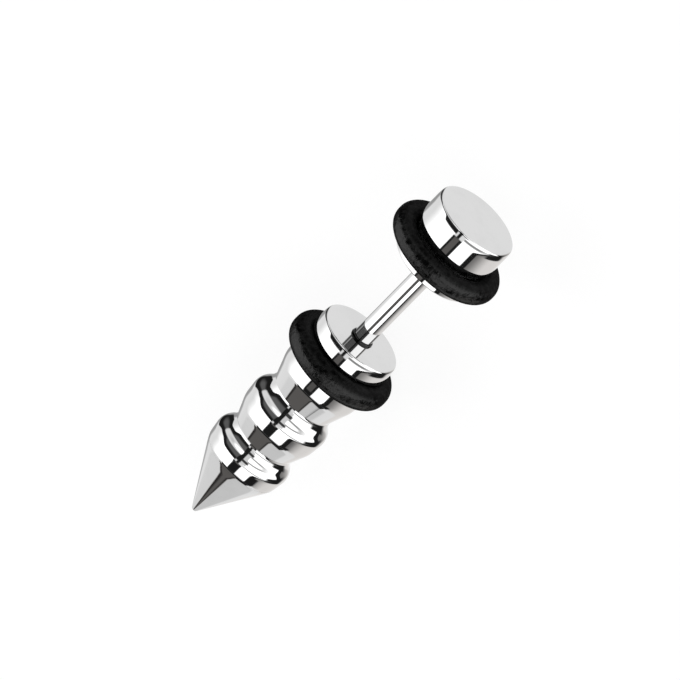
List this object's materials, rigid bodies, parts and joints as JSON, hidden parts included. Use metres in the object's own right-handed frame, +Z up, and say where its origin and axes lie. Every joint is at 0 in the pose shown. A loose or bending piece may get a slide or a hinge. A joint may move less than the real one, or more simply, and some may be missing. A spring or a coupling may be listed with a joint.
{
  "type": "faux taper earring",
  "caption": "Fake taper for an ear lobe: a ridged steel spike in front, a thin straight post, and a round capped head, each end with a rubber ring.",
  "frame": {"origin": "middle of the bounding box's base, on the surface that the earring rests on", "axes": "+X along the earring from the spike's tip towards the head, +Z up; the earring rests on the ring behind its front plate and on its first bead, so its own axis rises 6.6 degrees towards the head"},
  "size_m": [0.0252, 0.0072, 0.0081],
  "materials": {
    "spike_steel": "polished",
    "post_steel": "polished",
    "head_steel": "polished",
    "ring_rubber": "satin"
  },
  "bodies": {
    "root": {"spike_taper": "spike_steel", "taper_o_ring": "ring_rubber", "ear_post": "post_steel", "head_plug": "head_steel", "head_o_ring": "ring_rubber"}
  },
  "joints": []
}
